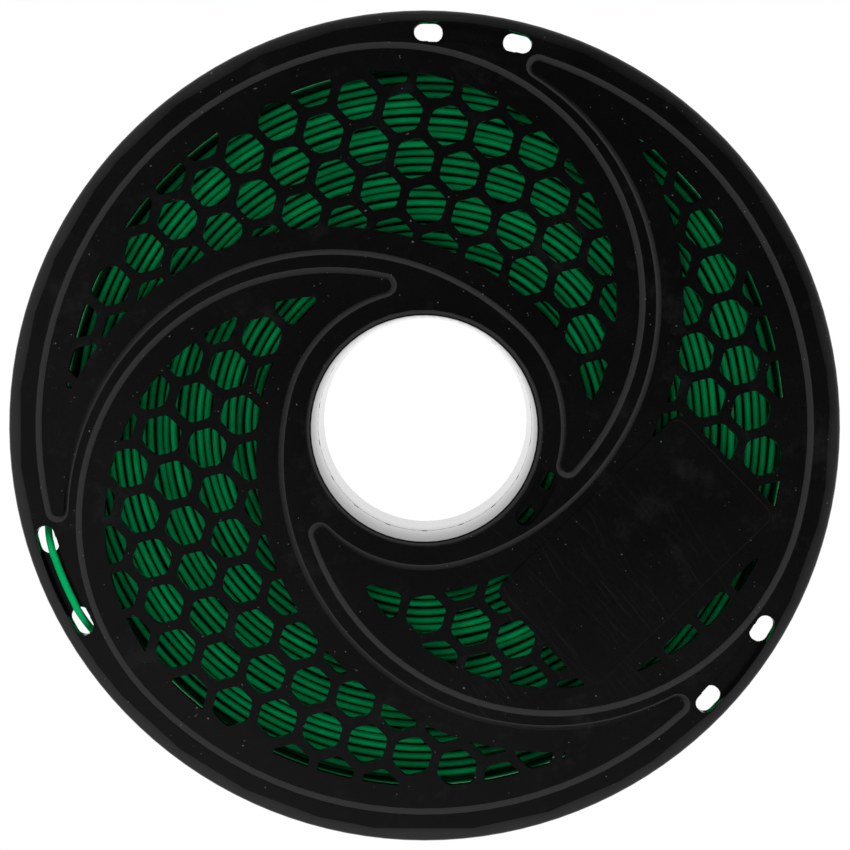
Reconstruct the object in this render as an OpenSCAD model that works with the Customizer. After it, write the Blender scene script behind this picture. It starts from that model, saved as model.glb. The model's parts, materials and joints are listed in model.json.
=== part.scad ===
// Filament spool: two moulded halves pushed together, a full winding of filament, and the filament's
// loose end threaded through a pair of holes in the rim. It lies flat, with its axis along Z.

/* [Spool] */
// Outside diameter of both flanges
outer_d = 200; // [170:1:240]
// Width over both flanges
width = 60; // [45:1:80]
// Diameter of the bore
bore_d = 54.4; // [45:0.1:60]
// Wall thickness of the core tube
core_wall = 3; // [2.6:0.1:4]
// Thickness of a flange
flange_t = 3.2; // [2.6:0.1:4.5]
// Radius of the rounded outer edge of a flange
rim_edge = 1.1; // [0.4:0.1:1.1]
// How far a flange's face falls away just inside its rounded edge
rim_fall = 0.25; // [0.1:0.01:0.3]
// Radius of the rounded lip where the bore meets a flange's face
bore_lip = 1.4; // [0.4:0.1:1.5]

/* [Swirl] */
// Width of the raised band around the rim
rim_band = 7.2; // [6.5:0.1:9]
// Width of the raised ring around the bore
hub_ring = 6.4; // [6.4:0.1:8]
// Depth of the three recessed petals
petal_d = 1.2; // [0.6:0.1:1.6]
// How far the petals' long arcs run in past the hub ring
arm_in = 4.8; // [3.5:0.1:6]
// How far the petals' long arcs run out past the rim band
arm_out = 3; // [2:0.1:4]
// Direction in which a petal's outer arc meets the rim band
petal_turn = 105.4; // [90:0.1:120]
// Radius of a petal's two tips
tip_r = 2.1; // [1:0.1:2.6]

/* [Honeycomb windows] */
// Distance between the middles of two cells
cell_pitch = 11.3; // [9:0.1:14]
// Width of the web between two cells
cell_web = 2.3; // [1.6:0.1:3]
// Turn of the rows of cells
cell_turn = -15.6; // [-30:0.1:30]
// Plain margin between a petal's outline and its windows
window_margin = 6; // [4:0.1:9]

/* [Label pad] */
// Length of the plain pad for a label
pad_l = 60; // [40:1:64]
// Width of the pad
pad_w = 34; // [20:1:36]
// Distance from the pad's outer edge to the rim band
pad_gap = 18.8; // [17:0.1:24]
// How far the pad stands up from the petal's floor
pad_rise = 0.3; // [0.2:0.1:0.5]

/* [Rim holes] */
// Distance from the flange's edge to the middle of a rim hole
rim_hole_in = 5.2; // [4.6:0.1:5.6]
// Length of a rim hole, along the rim
rim_hole_l = 6.8; // [5:0.1:9]
// Width of a rim hole
rim_hole_w = 4.5; // [3:0.1:5]
// Distance between the two holes of a pair, along the rim
rim_hole_gap = 21.5; // [16:0.1:30]
// Depth of the channel that joins the two holes of a pair
channel_d = 2.2; // [1.6:0.1:2.3]

/* [Joint between the halves] */
// Length of the lap where the rear half's tongue covers the front half
lap_l = 8; // [4:0.5:12]
// Gap between the lapped walls
lap_gap = 0.15; // [0.1:0.01:0.2]
// Number of teeth that key the halves together
teeth = 18; // [6:1:24]
// Width of a tooth
tooth_w = 1; // [0.6:0.1:1.6]
// Height of a tooth
tooth_h = 1.4; // [0.8:0.1:2]

/* [Filament] */
// Diameter of the filament
filament_d = 1.75; // [1.5:0.05:3]
// Depth from the flange's edge down to the winding
winding_in = 12.5; // [10:0.5:40]
// Gap between the winding and the halves
winding_gap = 0.4; // [0.3:0.05:1]

/* [Hidden] */
$fn = 96;
petals = 3;
cut = 0.5;
rim_fall_w = 2.6;
rim_fall_turn = 80;
outer_r = outer_d / 2;
bore_r = bore_d / 2;
core_r = bore_r + core_wall;
rim_r = outer_r - rim_band;
hub_r = bore_r + hub_ring;
mid_z = width / 2;
inner_z = mid_z - flange_t;

// A petal lies between four arcs: the rim band and the hub ring, about the spool's axis, and two long
// arcs that touch them. Each long arc is the edge of the arm between two petals.
outer_arc_r = (rim_r + hub_r - arm_in) / 2;
outer_arc_off = rim_r - outer_arc_r;
outer_arc_c = outer_arc_off * heading(petal_turn);
inner_arc_r = (rim_r + hub_r + arm_out) / 2;
inner_arc_off = inner_arc_r - hub_r;
arm_turn = 120.2;
inner_turn = petal_turn + arm_turn;
inner_arc_c = inner_arc_off * heading(inner_turn);

// The honeycomb: one cell's middle lies here, and the rest follow from the pitch.
cell_flat = cell_pitch - cell_web;
cell_seed = [-5.2, rim_r - 17.1];
cell_reach = 2.7;
cell_first_turn = -60;
cell_last_turn = inner_turn - 50;
cell_rows = ceil(outer_r / cell_pitch) + 2;
window_tip = 0.8;

// The label pad lies across one petal.
pad_turn = -45.8;
pad_far = rim_r - pad_gap;
pad_shift = 16;
pad_corner = 3;
pad_clear = 1.4;
pad_clear_far = 4;
pad_root = 0.1;

// The rim holes.
rim_hole_r = outer_r - rim_hole_in;
rim_hole_step = rim_hole_gap / rim_hole_r * 180 / PI;
rim_hole_turn = petal_turn - 22.5;
rim_hole_flat = 0.4;
rim_hole_corner = (rim_hole_w - rim_hole_flat) / 2;
channel_side = 0.15;
channel_w = rim_hole_w + 2 * channel_side;

// The pocket in the hub ring, with a hole at each end, where the filament's first end is hooked.
pocket_turn = -31.6;
pocket_w = 5;
pocket_in = 2.4;
pocket_l = 15;
pocket_d = 2;
pocket_hole_l = 4.2;
pocket_hole_w = 2.8;
pocket_hole_end = 0.5;
pocket_hole_out = 0.3;
pocket_hole_corner = 1;

// The joint between the halves: the front half's wall is the inner lap, the rear half's the outer lap.
lap_r = bore_r + core_wall / 2;
lap_end_gap = 0.4;
joint_chamfer = 0.3;
tooth_gap = 0.15;

// The winding.
winding_r = outer_r - winding_in;
winding_low = -inner_z + winding_gap;
winding_high = inner_z - winding_gap;
winding_edge = 1;

// The route of the filament's loose end. Each point is its angle from the middle of the pair of rim
// holes, its distance out from the holes' circle, and its height above the channel's floor.
tail_turn = rim_hole_turn + 120;
tail_sides = 8;
tail_floor = mid_z - channel_d;
tail_route = [[-44, -6.2, -18.6], [-41, -6.2, -17.9], [-38, -6.1, -17.1], [-35, -5.9, -16.2],
    [-32, -5.5, -15.2], [-29, -4.9, -14], [-26, -4.2, -12.7], [-23, -3.4, -11.2],
    [-20, -2.6, -9.5], [-17.5, -2, -8], [-15, -1.4, -6.3], [-13, -1.1, -4.9],
    [-11, -0.8, -3.7], [-9.5, -0.6, -2.8], [-8.5, -0.5, -2.1], [-7.5, -0.4, -1.1],
    [-6.5, -0.3, -0.2], [-5.5, -0.3, 0.5], [-4.5, -0.3, 1], [-3.5, -0.4, 1.2],
    [-2, -0.4, 1.3], [0, -0.4, 1.3], [2, -0.4, 1.3], [3.5, -0.4, 1.2],
    [4.5, -0.3, 1], [5.5, -0.3, 0.5], [6.5, -0.3, -0.2], [7.5, -0.3, -1.1],
    [8.5, -0.3, -2.1], [9.5, -0.4, -2.8], [11, -0.5, -3.8], [13, -0.7, -5],
    [15, -0.9, -6.1], [17.5, -1.1, -7.3], [20, -1.3, -8.3]];

function heading(a) = [cos(a), sin(a)];
function turn_of(p) = atan2(p.y, p.x);
function arc(c, r, a, b, steps) = [for (i = [0 : steps]) c + r * heading(a + (b - a) * i / steps)];
// The same arc without its end, where the outline's next arc begins
function arc_to(c, r, a, b, steps) = [for (i = [0 : steps - 1]) c + r * heading(a + (b - a) * i / steps)];
function third_side_angle(a, b, c) = acos((a * a + b * b - c * c) / (2 * a * b));
function wrap(a) = a - 360 * floor(a / 360);

// Outline of a petal, moved in by m, with tips of radius t
function petal_points(m, t) =
    let (tip_a = inner_turn - third_side_angle(rim_r - m - t, inner_arc_off, inner_arc_r + m + t))
    let (tip_1 = (rim_r - m - t) * heading(tip_a))
    let (side_1 = wrap(turn_of(tip_1 - inner_arc_c)))
    let (tip_b = petal_turn - third_side_angle(hub_r + m + t, outer_arc_off, outer_arc_r - m - t))
    let (tip_2 = (hub_r + m + t) * heading(tip_b))
    let (side_2 = turn_of(tip_2 - outer_arc_c))
    concat(
        arc_to([0, 0], rim_r - m, tip_a, petal_turn, 24),
        arc_to(outer_arc_c, outer_arc_r - m, petal_turn, side_2, 40),
        arc_to(tip_2, t, side_2, tip_b - 180, 8),
        arc_to([0, 0], hub_r + m, tip_b, inner_turn - 180, 14),
        arc_to(inner_arc_c, inner_arc_r + m, inner_turn - 180, side_1, 36),
        arc_to(tip_1, t, side_1 - 180, tip_a - 360, 8));

// How far a point lies outside the window zone, negative inside it
function out_of_zone(p) =
    let (a = wrap(turn_of(p)))
    let (over_rim = norm(p) - rim_r)
    let (over_arc = norm(p - outer_arc_c) - outer_arc_r)
    let (outer = a > petal_turn && a < petal_turn + 180 ? over_rim : over_arc)
    let (under_arc = inner_arc_r - norm(p - inner_arc_c))
    let (inner = a > inner_turn - 180 && a < inner_turn ? under_arc : hub_r - norm(p))
    max(outer, inner) + window_margin;

// Middles of the cells that open at least a little inside the window zone
function cell_middles() =
    let (row_h = cell_pitch * sqrt(3) / 2)
    let (u = heading(cell_turn), v = heading(cell_turn + 90))
    [for (j = [-cell_rows : cell_rows], i = [-cell_rows : cell_rows])
        let (p = cell_seed + (i + (j % 2 == 0 ? 0 : 0.5)) * cell_pitch * u + j * row_h * v)
        let (a = cell_first_turn + wrap(turn_of(p) - cell_first_turn))
        if (norm(p) > hub_r && norm(p) < rim_r && a < cell_last_turn && out_of_zone(p) < cell_reach) p];

// Outline of a rectangle with rounded corners
function plate_points(l, w, r) =
    let (x = l / 2 - r, y = w / 2 - r)
    concat(
        arc([x, y], r, 0, 90, 5),
        arc([-x, y], r, 90, 180, 5),
        arc([-x, -y], r, 180, 270, 5),
        arc([x, -y], r, 270, 360, 5));

// Outline of a slot with round ends that follows a circle of radius r about the spool's axis
function bent_slot_points(r, w, turn, half) =
    concat(
        arc_to([0, 0], r + w / 2, turn - half, turn + half, 12),
        arc_to(r * heading(turn + half), w / 2, turn + half, turn + half + 180, 10),
        arc_to([0, 0], r - w / 2, turn + half, turn - half, 12),
        arc_to(r * heading(turn - half), w / 2, turn - half + 180, turn - half + 360, 10));

// Outline of a band with square ends that follows a circle of radius r about the spool's axis
function band_points(r, w, turn, half) =
    concat(
        arc([0, 0], r + w / 2, turn - half, turn + half, 12),
        arc([0, 0], r - w / 2, turn + half, turn - half, 12));

// The label pad's outline, grown by a margin at its ends and at its outer edge
module pad_outline(ends, far) {
    rotate(pad_turn)
        translate([pad_far - pad_w / 2 + far / 2, pad_shift])
            polygon(plate_points(pad_w + far, pad_l + 2 * ends, pad_corner));
}

// One petal's windows: the cells, cut off at the window zone's edge
module windows_2d() {
    intersection() {
        for (p = cell_middles())
            translate(p)
                rotate(cell_turn + 30)
                    circle(r = cell_flat / sqrt(3), $fn = 6);
        polygon(petal_points(window_margin, window_tip));
    }
}

// All that is cut away from a flange's face: petals, windows, rim channels and the hub pocket
module flange_cuts() {
    for (k = [0 : petals - 1])
        rotate(120 * k) {
            translate([0, 0, mid_z - petal_d])
                linear_extrude(petal_d + cut)
                    polygon(petal_points(0, tip_r));
            rim_channel();
        }
    translate([0, 0, inner_z - cut])
        linear_extrude(flange_t)
            difference() {
                for (k = [0 : petals - 1])
                    rotate(120 * k)
                        windows_2d();
                pad_outline(pad_clear, pad_clear_far);
            }
    hub_pocket();
}

// Two holes through the rim band and the channel between them
module rim_channel() {
    half = rim_hole_step / 2;
    for (s = [-half, half])
        rotate(rim_hole_turn + s)
            translate([rim_hole_r, 0, inner_z - cut])
                linear_extrude(flange_t + 2 * cut)
                    rotate(90)
                        polygon(plate_points(rim_hole_l, rim_hole_w, rim_hole_corner));
    translate([0, 0, mid_z - channel_d])
        linear_extrude(channel_d + cut)
            polygon(band_points(rim_hole_r, channel_w, rim_hole_turn, half));
}

// The pocket follows the bore, and each of its ends has a hole through the flange
module hub_pocket() {
    r = bore_r + pocket_in + pocket_w / 2;
    half = (pocket_l - pocket_w) / 2 / r * 180 / PI;
    hole_half = ((pocket_l - pocket_hole_l) / 2 - pocket_hole_end) / r * 180 / PI;
    translate([0, 0, mid_z - pocket_d])
        linear_extrude(pocket_d + cut)
            polygon(bent_slot_points(r, pocket_w, pocket_turn, half));
    for (s = [-hole_half, hole_half])
        rotate(pocket_turn + s)
            translate([r + pocket_hole_out, 0, inner_z - cut])
                linear_extrude(flange_t)
                    rotate(90)
                        polygon(plate_points(pocket_hole_l, pocket_hole_w, pocket_hole_corner));
}

// One half's wall and flange, as a solid of revolution from the joint up to its face at mid_z, with
// the wall's end chamfered where the joint meets the bore
module half_blank() {
    e = rim_edge;
    b = bore_lip;
    profile = concat(
        [[bore_r + joint_chamfer, 0], [bore_r, joint_chamfer]],
        arc([bore_r + b, mid_z - b], b, 180, 90, 4),
        [[outer_r - rim_fall_w, mid_z]],
        arc([outer_r - e, mid_z - rim_fall - e], e, rim_fall_turn, 0, 4),
        arc([outer_r - e, inner_z + e], e, 0, -90, 4),
        [[core_r, inner_z], [core_r, 0]]);
    rotate_extrude()
        polygon(profile);
}

// A half without its share of the joint, with its face up at mid_z
module half() {
    difference() {
        half_blank();
        flange_cuts();
    }
    translate([0, 0, mid_z - petal_d - pad_root])
        linear_extrude(pad_root + pad_rise)
            pad_outline(0, 0);
}

// A ring of small blocks, which are the teeth or, with a gap, the notches for them
module tooth_ring(r_in, r_out, w, h) {
    for (k = [0 : teeth - 1])
        rotate(360 / teeth * (k + 0.5))
            translate([r_in, -w / 2, 0])
                cube([r_out - r_in, w, h]);
}

module front_half() {
    color("#26282a")
        difference() {
            half();
            translate([0, 0, -cut])
                difference() {
                    cylinder(r = core_r + cut, h = lap_l + lap_end_gap + cut);
                    translate([0, 0, -cut])
                        cylinder(r = lap_r - lap_gap, h = lap_l + lap_end_gap + 3 * cut);
                }
            translate([0, 0, -cut])
                tooth_ring(bore_r - cut, lap_r + cut, tooth_w + 2 * tooth_gap, tooth_h + tooth_gap + cut);
        }
}

module rear_half() {
    color("#26282a") {
        rotate([180, 0, 0])
            half();
        translate([0, 0, -cut])
            difference() {
                cylinder(r = core_r, h = lap_l + cut);
                translate([0, 0, -cut])
                    cylinder(r = lap_r, h = lap_l + 3 * cut);
            }
        translate([0, 0, -cut])
            tooth_ring(bore_r + tooth_gap, lap_r + cut, tooth_w, tooth_h + cut);
    }
}

module filament_winding() {
    in_r = core_r + winding_gap;
    e = winding_edge;
    profile = concat(
        [[in_r, winding_low]],
        arc([winding_r - e, winding_low + e], e, -90, 0, 3),
        arc([winding_r - e, winding_high - e], e, 0, 90, 3),
        [[in_r, winding_high]]);
    color("#10c98f")
        rotate_extrude()
            polygon(profile);
}

function tail_point(q) = let (p = (rim_hole_r + q.y) * heading(tail_turn + q.x)) [p.x, p.y, tail_floor + q.z];
function unit(v) = v / norm(v);
function tail_heading(path, i) =
    unit(path[min(i + 1, len(path) - 1)] - path[max(i - 1, 0)]);
function tail_ring(path, i) =
    let (d = tail_heading(path, i))
    let (side = unit(cross(d, [0, 0, 1])))
    let (up = cross(side, d))
    [for (k = [0 : tail_sides - 1])
        let (a = 360 * k / tail_sides)
        path[i] + filament_d / 2 * (cos(a) * side + sin(a) * up)];

module filament_tail() {
    path = [for (q = tail_route) tail_point(q)];
    rings = [for (i = [0 : len(path) - 1]) each tail_ring(path, i)];
    n = tail_sides;
    last = (len(path) - 1) * n;
    walls = [for (i = [0 : len(path) - 2], k = [0 : n - 1])
        [i * n + k, i * n + (k + 1) % n, (i + 1) * n + (k + 1) % n, (i + 1) * n + k]];
    start = [for (k = [n - 1 : -1 : 0]) k];
    end = [for (k = [0 : n - 1]) last + k];
    color("#14e0a0")
        polyhedron(rings, concat(walls, [start], [end]));
}

// The parts are drawn about the middle of the spool's width, and lifted to stand on the rear flange.
translate([0, 0, mid_z]) {
    front_half();
    rear_half();
    filament_winding();
    filament_tail();
}
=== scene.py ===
import json
import math
import random

import bmesh
import bpy
from mathutils import Matrix, Vector


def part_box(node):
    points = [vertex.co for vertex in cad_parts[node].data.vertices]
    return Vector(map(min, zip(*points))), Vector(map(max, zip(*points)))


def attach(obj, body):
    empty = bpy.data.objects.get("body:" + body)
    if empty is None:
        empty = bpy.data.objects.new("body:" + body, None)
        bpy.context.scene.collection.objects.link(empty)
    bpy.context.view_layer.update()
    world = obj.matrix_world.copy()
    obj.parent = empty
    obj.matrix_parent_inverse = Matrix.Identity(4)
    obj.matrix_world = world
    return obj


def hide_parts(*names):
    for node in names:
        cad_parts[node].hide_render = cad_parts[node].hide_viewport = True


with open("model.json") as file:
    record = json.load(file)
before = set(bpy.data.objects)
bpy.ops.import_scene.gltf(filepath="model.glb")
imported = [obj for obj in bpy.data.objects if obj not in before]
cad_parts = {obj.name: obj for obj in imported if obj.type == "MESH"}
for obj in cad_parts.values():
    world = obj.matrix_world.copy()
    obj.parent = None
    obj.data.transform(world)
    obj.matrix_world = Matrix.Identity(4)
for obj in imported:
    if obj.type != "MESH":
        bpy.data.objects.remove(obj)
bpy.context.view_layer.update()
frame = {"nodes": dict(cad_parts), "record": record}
scene = bpy.context.scene
mm = 0.001
nodeNames = [entry["node"] for entry in frame["record"]["subparts"]]
print("frame loaded:", ", ".join(nodeNames))

# sizes that several pieces share, read from the frame
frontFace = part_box("front_half")[1].z
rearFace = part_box("rear_half")[0].z
windLow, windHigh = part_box("filament_winding")


def heading(degrees):
    return Vector((math.cos(math.radians(degrees)), math.sin(math.radians(degrees)), 0))


# camera, straight over the front flange and a little off its middle
cameraSetup = {
    "place": (2.6 * mm, 20.5 * mm, 555.6 * mm),
    "turn": (-2.26, 0.277, 0),  # degrees
    "lens": 87.5,
    "sensor": 36,
    "clip": (0.01, 20),
}


def makeCamera(setup):
    lens = bpy.data.cameras.new("camera")
    lens.lens = setup["lens"]
    lens.sensor_width = setup["sensor"]
    lens.clip_start, lens.clip_end = setup["clip"]
    camera = bpy.data.objects.new("camera", lens)
    camera.location = setup["place"]
    camera.rotation_euler = [math.radians(a) for a in setup["turn"]]
    scene.collection.objects.link(camera)
    scene.camera = camera


makeCamera(cameraSetup)
print("camera placed")

# the filament's loose end: each point is its angle from the middle of the pair of rim holes, its
# distance out from the holes' circle, and its height over the channel's floor
looseEnd = {
    "pairTurn": 202.9,
    "holesRadius": 94.8 * mm,
    "channelDepth": 2.2 * mm,
    "thick": 1.75 * mm,
    "route": [
        (-44, -6.2, -18.6), (-41, -6.2, -17.9), (-38, -6.1, -17.1), (-35, -5.9, -16.2),
        (-32, -5.5, -15.2), (-29, -4.9, -14), (-26, -4.2, -12.7), (-23, -3.4, -11.2),
        (-20, -2.6, -9.5), (-17.5, -2, -8), (-15, -1.4, -6.3), (-13, -1.1, -4.9),
        (-11, -0.8, -3.7), (-9.5, -0.6, -2.8), (-8.5, -0.5, -2.1), (-7.5, -0.4, -1.1),
        (-6.5, -0.3, -0.2), (-5.5, -0.3, 0.5), (-4.5, -0.3, 1), (-3.5, -0.4, 1.2),
        (-2, -0.4, 1.3), (0, -0.4, 1.3), (2, -0.4, 1.3), (3.5, -0.4, 1.2),
        (4.5, -0.3, 1), (5.5, -0.3, 0.5), (6.5, -0.3, -0.2), (7.5, -0.3, -1.1),
        (8.5, -0.3, -2.1), (9.5, -0.4, -2.8), (11, -0.5, -3.8), (13, -0.7, -5),
        (15, -0.9, -6.1), (17.5, -1.1, -7.3), (20, -1.3, -8.3)],
}


def makeLooseEnd(setup):
    line = bpy.data.curves.new("filamentTail", "CURVE")
    line.dimensions = "3D"
    line.bevel_depth = setup["thick"] / 2
    line.bevel_resolution = 4
    line.resolution_u = 6
    line.use_fill_caps = True
    places = []
    for turn, out, rise in setup["route"]:
        place = (setup["holesRadius"] + out * mm) * heading(setup["pairTurn"] + turn)
        place.z = frontFace - setup["channelDepth"] + rise * mm
        places.append(place)
    spline = line.splines.new("BEZIER")
    spline.bezier_points.add(len(places) - 1)
    for point, place in zip(spline.bezier_points, places):
        point.co = place
        point.handle_left_type = point.handle_right_type = "AUTO"
    sweep = bpy.data.objects.new("sweep", line)
    scene.collection.objects.link(sweep)
    bpy.context.view_layer.update()
    mesh = bpy.data.meshes.new_from_object(sweep.evaluated_get(bpy.context.evaluated_depsgraph_get()))
    bpy.data.objects.remove(sweep)
    mesh.name = "filamentTail"
    piece = bpy.data.objects.new("filamentTail", mesh)
    scene.collection.objects.link(piece)
    length = sum((b - a).length for a, b in zip(places, places[1:]))
    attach(piece, "front")
    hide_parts("filament_tail")
    print(f"loose end made, {length * 1000:.0f} mm long")
    return piece


tail = makeLooseEnd(looseEnd)


# materials: a socket that takes part in Python arithmetic, and a material that makes nodes
class Wire:
    def __init__(self, paint, socket):
        self.paint = paint
        self.socket = socket

    def __add__(self, other):
        return self.paint.maths("ADD", self, other)

    def __sub__(self, other):
        return self.paint.maths("SUBTRACT", self, other)

    def __rsub__(self, other):
        return self.paint.maths("SUBTRACT", other, self)

    def __mul__(self, other):
        return self.paint.maths("MULTIPLY", self, other)

    __radd__ = __add__


class Paint:
    def __init__(self, name, tree=None):
        self.material = None
        if tree is None:
            self.material = bpy.data.materials.new(name)
            self.material.use_nodes = True
            tree = self.material.node_tree
        self.tree = tree
        self.tree.nodes.clear()

    def node(self, kind, settings=None, sockets=None, result=0):
        made = self.tree.nodes.new(kind)
        for key, value in (settings or {}).items():
            if key == "stops":
                self.setStops(made.color_ramp, value)
            else:
                setattr(made, key, value)
        for key, value in (sockets or {}).items():
            if isinstance(value, Wire):
                self.tree.links.new(value.socket, made.inputs[key])
            else:
                made.inputs[key].default_value = value
        return Wire(self, made.outputs[result]) if made.outputs else None

    def maths(self, operation, first, second):
        return self.node("ShaderNodeMath", {"operation": operation}, {0: first, 1: second})

    def measure(self, operation, first, second=(0, 0, 0)):
        sockets = {0: first, 1: second}
        return self.node("ShaderNodeVectorMath", {"operation": operation}, sockets, "Value")

    def setStops(self, ramp, stops):
        while len(ramp.elements) < len(stops):
            ramp.elements.new(0.5)
        for element, (place, level) in zip(ramp.elements, stops):
            element.position = place
            element.color = (level, level, level, 1)

    def place(self):
        return self.node("ShaderNodeTexCoord", result="Object")

    def noise(self, vector, scale, detail=2, roughness=0.5):
        sockets = {"Vector": vector, "Scale": scale, "Detail": detail, "Roughness": roughness}
        return self.node("ShaderNodeTexNoise", sockets=sockets)

    def ramp(self, factor, stops):
        return self.node("ShaderNodeValToRGB", {"stops": stops}, {"Fac": factor})

    def mixColours(self, factor, first, second):
        return self.node("ShaderNodeMix", {"data_type": "RGBA"}, {0: factor, 6: first, 7: second}, 2)

    def bump(self, height, strength, distance):
        return self.node("ShaderNodeBump", sockets={
            "Height": height, "Strength": strength, "Distance": distance})

    def finish(self, sockets):
        shader = self.node("ShaderNodeBsdfPrincipled", sockets=sockets)
        self.node("ShaderNodeOutputMaterial", sockets={"Surface": shader})
        return self.material


# black moulded plastic: dull faces with a cloudy gloss, scratches, scuffs and dust, a polished bore
blackPlastic = {
    "colour": (0.001, 0.001, 0.0012, 1),
    "scuffed": (0.014, 0.014, 0.014, 1),
    "dust": (0.16, 0.16, 0.155, 1),
    "roughness": 0.25,
    "boreRoughness": 0.05,
    "boreRadius": 27.5 * mm,
    "cloudScale": 45,
    "cloudShare": 0.12,
    "grainScale": 1500,
    "grainShare": 0.08,
    "wornShare": 0.1,
    "scuffScale": 60,
    "scuffStops": [(0.56, 0), (0.8, 1)],
    "scuffDepth": 0.7,
    "speckScale": 1100,
    "speckStops": [(0.77, 0), (0.8, 1)],
    "scratchTurns": (-44, -52, -61),
    "scratchShift": 7,
    "scratchLength": 55,  # noise per metre along a scratch, and across it
    "scratchWidth": 1500,
    "scratchStops": [(0.64, 0), (0.74, 1)],
    "patchScale": 26,
    "patchStops": [(0.3, 0.06), (0.55, 1)],
    "scratchDepth": 0.32,
    "padMiddle": (36 * mm, -38 * mm, 60 * mm),
    "padReach": 46 * mm,
}


def makeScratches(paint, place, turn, shift, onPad, look):
    along = paint.measure("DOT_PRODUCT", place, heading(turn)) * look["scratchLength"] + shift
    across = paint.measure("DOT_PRODUCT", place, heading(turn + 90)) * look["scratchWidth"]
    spread = paint.node("ShaderNodeCombineXYZ", sockets={0: along, 1: across, 2: shift})
    lines = paint.ramp(paint.noise(spread, 1, detail=1), look["scratchStops"])
    patches = paint.noise(place, look["patchScale"]) * 0.5 + onPad * 0.5
    return lines * paint.ramp(patches, look["patchStops"])


def makeBlackPlastic(look):
    paint = Paint("blackPlastic")
    place = paint.place()
    cloudy = paint.noise(place, look["cloudScale"], detail=4, roughness=0.6)
    fine = paint.noise(place, look["grainScale"])
    blotches = paint.noise(place, look["scuffScale"], detail=6, roughness=0.75)
    scuffs = paint.ramp(blotches, look["scuffStops"])
    specks = paint.ramp(paint.noise(place, look["speckScale"], detail=1), look["speckStops"])
    far = paint.measure("DISTANCE", place, look["padMiddle"])
    onPad = paint.maths("MAXIMUM", 1 - far * (1 / look["padReach"]), 0)
    scratches = sum(
        makeScratches(paint, place, turn, k * look["scratchShift"], onPad, look)
        for k, turn in enumerate(look["scratchTurns"]))
    wear = scuffs * look["scuffDepth"] + scratches * look["scratchDepth"]
    worn = paint.maths("MINIMUM", wear, 1)
    colour = paint.mixColours(worn, look["colour"], look["scuffed"])
    colour = paint.mixColours(specks, colour, look["dust"])
    flat = paint.node("ShaderNodeVectorMath", {"operation": "MULTIPLY"}, {0: place, 1: (1, 1, 0)})
    reach = paint.measure("LENGTH", flat)
    inBore = paint.maths("LESS_THAN", reach, look["boreRadius"])
    dull = look["roughness"] + (cloudy - 0.5) * look["cloudShare"]
    dull = dull + (fine - 0.5) * look["grainShare"] + worn * look["wornShare"]
    roughness = dull + (look["boreRoughness"] - dull) * inBore
    normal = paint.bump(fine, strength=0.06, distance=0.02 * mm)
    return paint.finish({
        "Base Color": colour, "Roughness": roughness, "Normal": normal, "IOR": 1.5})


# filament: soft gloss; on the winding each strand's colour has painted light, a painted highlight along
# its crest and painted shade where it meets the next
greenFilament = {
    "light": (0.0, 0.9, 0.26, 1),
    "dark": (0.0, 0.55, 0.15, 1),
    # painted shade: the colour painted into the gaps between strands
    "gap": (0.0, 0.02, 0.006, 1),
    "roughness": 0.4,
    "gloss": 0.06,
    "streakScale": 160,
    "streakShare": 0.2,
}


def makeGreenFilament(look, name, withPaintedShade):
    paint = Paint(name)
    place = paint.place()
    streak = paint.noise(place, look["streakScale"], detail=3)
    colour = paint.mixColours(streak, look["dark"], look["light"])
    if withPaintedShade:
        # painted light: this attribute paints shade into the gaps and a highlight onto the crests
        crest = paint.node("ShaderNodeAttribute", {"attribute_name": "crest"}, result="Fac")
        colour = paint.mixColours(crest, look["gap"], colour)
    roughness = look["roughness"] + (streak - 0.5) * look["streakShare"]
    return paint.finish({
        "Base Color": colour, "Roughness": roughness, "IOR": 1.46, "Specular IOR Level": look["gloss"]})


plastic = makeBlackPlastic(blackPlastic)
filament = makeGreenFilament(greenFilament, "greenFilament", False)
# the winding's copy, with painted shade in the gaps and a painted highlight on the crests
paintedShadeFilament = makeGreenFilament(greenFilament, "greenFilamentPaintedShade", True)
tail.data.materials.clear()
tail.data.materials.append(filament)
print("materials made")


# how far two faces turn, in degrees, to meet in a sharp edge, and how level a face is to stay flat
shading = {
    "halfSharp": 28,
    "strandSharp": 80,
    "level": 0.9999,
}


def addPiece(name, form, material, body, standsFor, sharp):
    mesh = bpy.data.meshes.new(name)
    form.to_mesh(mesh)
    form.free()
    for old in ("custom_normal", "sharp_edge", "sharp_face"):  # shading that a copied node brought
        if old in mesh.attributes:
            mesh.attributes.remove(mesh.attributes[old])
    mesh.shade_smooth()
    mesh.set_sharp_from_angle(angle=math.radians(sharp))
    for polygon in mesh.polygons:
        if abs(polygon.normal.z) > shading["level"]:
            polygon.use_smooth = False
    mesh.materials.append(material)
    piece = bpy.data.objects.new(name, mesh)
    scene.collection.objects.link(piece)
    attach(piece, body)
    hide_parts(standsFor)
    print(name, "made,", len(mesh.polygons), "faces")


# the two moulded halves: window corners are rounded, petal walls lean and their tops are softened
halfShape = {
    "petalDepth": 1.2 * mm,
    "flange": 3.2 * mm,
    "wallLean": 0.62 * mm,
    "padRise": 0.3 * mm,
    "padLean": 0.22 * mm,
    "cornerRound": 1.1 * mm,
    "cornerShare": 0.3,  # the most that a rounding takes of the wall beside it
    "cornerTurn": 25,  # degrees
    "edgeSoft": 0.16 * mm,
    "join": 0.002 * mm,  # corners nearer than this become one
    "mergeTurn": 1.2,  # degrees; flatter edges than this are taken out
    "near": 0.01 * mm,  # heights nearer than this are the same
    "tilt": 0.01,  # a wall's normal points up by less than this
}


def bevelEdges(form, edges, offset, segments):
    bmesh.ops.bevel(form, geom=edges, offset=offset, offset_type="OFFSET", affect="EDGES",
                    segments=segments, profile=0.5, material=-1, clamp_overlap=False)


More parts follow.
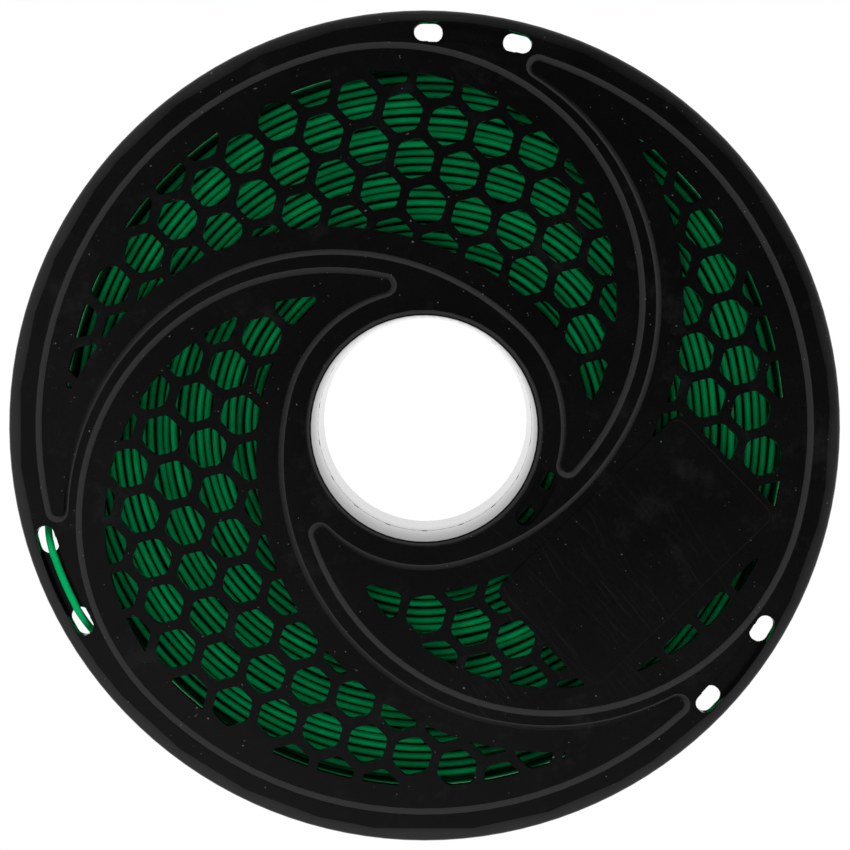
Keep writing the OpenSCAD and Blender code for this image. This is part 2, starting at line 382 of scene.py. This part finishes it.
def makeHalf(nodeName, name, body, faceHeight, up, shape):
    form = bmesh.new()
    form.from_mesh(frame["nodes"][nodeName].data)
    bmesh.ops.remove_doubles(form, verts=form.verts, dist=shape["join"])
    bmesh.ops.dissolve_limit(
        form, angle_limit=math.radians(shape["mergeTurn"]), verts=form.verts, edges=form.edges)
    form.normal_update()
    roundWindowCorners(form, shape)
    tops = leanPetalWalls(form, faceHeight, up, shape)
    softenTops(form, tops, shape)
    addPiece(name, form, plastic, body, nodeName, shading["halfSharp"])


def roundWindowCorners(form, shape):
    tall = shape["flange"] - shape["petalDepth"]
    near = shape["near"]
    corners = []
    for edge in form.edges:
        a, b = (vert.co for vert in edge.verts)
        upright = abs(abs(a.z - b.z) - tall) < near and (a - b).xy.length < near / 10
        if not upright or len(edge.link_faces) != 2:
            continue
        if edge.calc_face_angle(0) < math.radians(shape["cornerTurn"]) or edge.is_convex:
            continue
        narrowest = min(max((v.co - a).xy.length for v in f.verts) for f in edge.link_faces)
        size = min(shape["cornerRound"], shape["cornerShare"] * narrowest)
        corners.append((edge, round(size / mm, 1)))
    for step in sorted({size for _, size in corners if size > 0}):
        chosen = [e for e, size in corners if size == step and e.is_valid]
        bevelEdges(form, chosen, step * mm, 3)
    print("  window corners:", len(corners))
    form.normal_update()


# a point on the pad's edge moves in by padLean; one on a petal's wall moves by wallLean, in at the
# face and out at the floor
def leanPetalWalls(form, faceHeight, up, shape):
    near = shape["near"]
    floorHeight = faceHeight - up * shape["petalDepth"]
    padHeight = floorHeight + up * shape["padRise"]
    lowest, highest = sorted((faceHeight, floorHeight))
    moves = {}
    for vert in form.verts:
        walls = [f for f in vert.link_faces if abs(f.normal.z) < shape["tilt"]]
        out = sum((f.normal for f in walls), Vector((0, 0, 0)))
        if out.length < 0.5:
            continue
        heights = [v.co.z for f in walls for v in f.verts]
        atFace = abs(vert.co.z - faceHeight) < near
        atFloor = abs(vert.co.z - floorHeight) < near
        wholeWall = abs(min(heights) - lowest) <= 2 * near and abs(max(heights) - highest) <= 2 * near
        if abs(vert.co.z - padHeight) < near:
            if max(abs(h - padHeight) for h in heights) < shape["padRise"] + near:
                moves[vert] = out.normalized() * -shape["padLean"]
        elif (atFace or atFloor) and wholeWall:
            moves[vert] = out.normalized() * (-shape["wallLean"] if atFace else shape["wallLean"])
    for vert, move in moves.items():
        vert.co += move
    form.normal_update()
    print("  wall points leant:", len(moves))
    return {v for v in moves if abs(v.co.z - faceHeight) < near}


def softenTops(form, tops, shape):
    chosen = [e for e in form.edges if e.verts[0] in tops and e.verts[1] in tops and e.is_convex]
    bevelEdges(form, chosen, shape["edgeSoft"], 2)
    form.normal_update()
    print("  edges softened:", len(chosen))


makeHalf("front_half", "frontHalf", "front", frontFace, 1, halfShape)
makeHalf("rear_half", "rearHalf", "rear", rearFace, -1, halfShape)


# the winding: strands laid side by side, seen on both flat sides and all round the outside
windingShape = {
    "thick": 1.75 * mm,
    "coreRadius": 30.8 * mm,
    "outerInset": 0.2 * mm,
    "facePitch": 1.98 * mm,
    "faceDepth": 1.3 * mm,
    "outerPitch": 1.79 * mm,
    "firstRadius": 31.8 * mm,
    "sides": 8,
    "steps": 168,
    "swayWaves": (1, 2, 3, 5, 7),
    "sway": 0.2 * mm,
    "swayDivisor": 1.5,
    "sinkWaves": (1, 2, 4, 6, 9),
    "sinkDivisor": 4,
    "depthSpread": 1.2 * mm,
    "outerSpread": 0.4,  # share of depthSpread
    # beyond this radius the strands on the flat sides sag deeper and their colour is given painted
    # shade
    "slumpAndShadeRadius": 84 * mm,
    "slumpAndShade": 0.3,
    # painted light on the strands: how fast the painted highlight falls off the crest, how bright it
    # is, and how much painted shade a deeper strand gets
    "paintedLightPower": 1.1,
    "paintedHighlight": 1.1,
    "paintedDepthShade": 0.55,
    "coreIn": 3.2 * mm,
}
draw = random.Random(41)


def drawWaves(counts):
    return [(n, draw.uniform(0, math.tau), draw.uniform(-1, 1)) for n in counts]


def waveHeight(waves, turn):
    return sum(size * math.sin(n * turn + start) for n, start, size in waves)


def addStrand(form, radius, height, shape, towards):
    strand = bmesh.new()
    crest = strand.verts.layers.float.new("crest")
    half = shape["thick"] / 2
    section = bmesh.ops.create_circle(strand, segments=shape["sides"], radius=half)["verts"]
    upright = Matrix.Rotation(math.radians(90), 3, "X")
    bmesh.ops.rotate(strand, verts=section, cent=(0, 0, 0), matrix=upright)
    bmesh.ops.translate(strand, verts=section, vec=(radius, 0, height))
    bmesh.ops.spin(strand, geom=strand.verts[:] + strand.edges[:], cent=(0, 0, 0), axis=(0, 0, 1),
                   angle=math.tau, steps=shape["steps"], use_merge=True)
    swayWaves = drawWaves(shape["swayWaves"])
    sinkWaves = drawWaves(shape["sinkWaves"])
    base = draw.uniform(0, 1)
    # sag beyond the radius, also used below to paint shade into the strand's colour
    slumpAndShade = max(0, radius - shape["slumpAndShadeRadius"]) * shape["slumpAndShade"] if towards else 0
    for vert in strand.verts:
        turn = math.atan2(vert.co.y, vert.co.x)
        rise = (vert.co.z - height) * towards if towards else vert.co.xy.length - radius
        sway = waveHeight(swayWaves, turn) * shape["sway"] / shape["swayDivisor"]
        sink = 0.5 + waveHeight(sinkWaves, turn) / shape["sinkDivisor"]
        sink = min(1, max(0, 0.5 * sink + 0.5 * base))
        fall = sink * shape["depthSpread"] + slumpAndShade
        # painted light: each point's colour is painted from its height on the strand, a painted
        # highlight on the crest and painted shade at the sides, darker still for deeper strands and for
        # sagging strands near the rim
        level = (shape["paintedHighlight"] - shape["paintedDepthShade"] * sink) / (1 + slumpAndShade / mm)
        vert[crest] = max(0, rise / half) ** shape["paintedLightPower"] * level
        outward = Vector((math.cos(turn), math.sin(turn), 0))
        vert.co += outward * sway if towards else -outward * fall * shape["outerSpread"]
        vert.co.z += -towards * fall if towards else sway
    done = bpy.data.meshes.new("strand")
    strand.to_mesh(done)
    strand.free()
    form.from_mesh(done)
    bpy.data.meshes.remove(done)


def newWinding():
    form = bmesh.new()
    form.verts.layers.float.new("crest")
    return form


def addWinding(name, form, sharp):
    bmesh.ops.recalc_face_normals(form, faces=form.faces)
    addPiece(name, form, paintedShadeFilament, "front", "filament_winding", sharp)


def makeWindingFace(name, faceHeight, towards, shape):
    form = newWinding()
    height = faceHeight - towards * (shape["faceDepth"] + shape["thick"] / 2)
    last = windHigh.x - shape["thick"] / 2 - shape["outerInset"]
    count = round((last - shape["firstRadius"]) / shape["facePitch"])
    for k in range(count + 1):
        addStrand(form, last - k * shape["facePitch"], height, shape, towards)
    addWinding(name, form, shading["strandSharp"])


def makeWindingTurns(name, shape):
    form = newWinding()
    low = windLow.z + shape["thick"]
    high = windHigh.z - shape["thick"]
    count = round((high - low) / shape["outerPitch"])
    for k in range(count + 1):
        height = low + (high - low) * k / count
        addStrand(form, windHigh.x - shape["thick"] / 2, height, shape, 0)
    addWinding(name, form, shading["strandSharp"])


# the core's painted-light value stays at 0, so it is coloured all over with the painted shade of the
# gaps
def makeWindingCore(name, shape):
    form = newWinding()
    inner = shape["coreRadius"]
    outer = windHigh.x - shape["coreIn"]
    low, high = windLow.z + shape["coreIn"], windHigh.z - shape["coreIn"]
    corners = [form.verts.new(p) for p in (
        (inner, 0, low), (outer, 0, low), (outer, 0, high), (inner, 0, high))]
    edges = [form.edges.new((corners[k], corners[(k + 1) % 4])) for k in range(4)]
    bmesh.ops.spin(form, geom=corners + edges, cent=(0, 0, 0), axis=(0, 0, 1), angle=math.tau,
                   steps=shape["steps"], use_merge=True)
    addWinding(name, form, shading["halfSharp"])


makeWindingFace("windingFrontFace", windHigh.z, 1, windingShape)
makeWindingFace("windingRearFace", windLow.z, -1, windingShape)
makeWindingTurns("windingOuterTurns", windingShape)
makeWindingCore("windingCore", windingShape)


# a pale floor that glows like a light table, and soft light from a ring of sky
studio = {
    "floorSize": 12,
    "floorLevel": 1.0,
    "floorDrop": 0.3 * mm,  # keeps the floor clear of the rear flange's face
    "skyTop": (0.1, 0.12, 1),  # the middle of the sky's dark top
    "sky": [
        (0.0, 0.5), (0.45, 0.8), (0.68, 0.8), (0.82, 0.5),
        (0.9, 0.25), (0.94, 0.12), (0.965, 0.04), (0.985, 0.02)],
}


def makeFloor(setup):
    form = bmesh.new()
    bmesh.ops.create_grid(form, x_segments=1, y_segments=1, size=setup["floorSize"] / 2)
    bmesh.ops.translate(form, verts=form.verts, vec=(0, 0, rearFace - setup["floorDrop"]))
    mesh = bpy.data.meshes.new("floor")
    form.to_mesh(mesh)
    form.free()
    floor = bpy.data.objects.new("floor", mesh)
    scene.collection.objects.link(floor)
    paint = Paint("floor")
    glow = paint.node("ShaderNodeEmission", sockets={
        "Color": (1, 1, 1, 1), "Strength": setup["floorLevel"]})
    clear = paint.node("ShaderNodeBsdfTransparent")
    fromBelow = paint.node("ShaderNodeNewGeometry", result="Backfacing")
    floorLook = paint.node("ShaderNodeMixShader", sockets={0: fromBelow, 1: glow, 2: clear})
    paint.node("ShaderNodeOutputMaterial", sockets={"Surface": floorLook})
    mesh.materials.append(paint.material)


def makeSky(setup):
    world = bpy.data.worlds.new("sky")
    scene.world = world
    world.use_nodes = True
    paint = Paint("sky", world.node_tree)
    direction = paint.node("ShaderNodeTexCoord", result="Generated")
    top = Vector(setup["skyTop"]).normalized()
    up = paint.measure("DOT_PRODUCT", direction, top)
    level = paint.ramp(up, setup["sky"])
    seen = paint.node("ShaderNodeLightPath", result="Is Camera Ray")
    colour = paint.mixColours(seen, level, (1, 1, 1, 1))
    light = paint.node("ShaderNodeBackground", sockets={"Color": colour, "Strength": 1})
    paint.node("ShaderNodeOutputWorld", sockets={"Surface": light})


makeFloor(studio)
makeSky(studio)
scene.view_settings.view_transform = "Standard"
print("studio made")
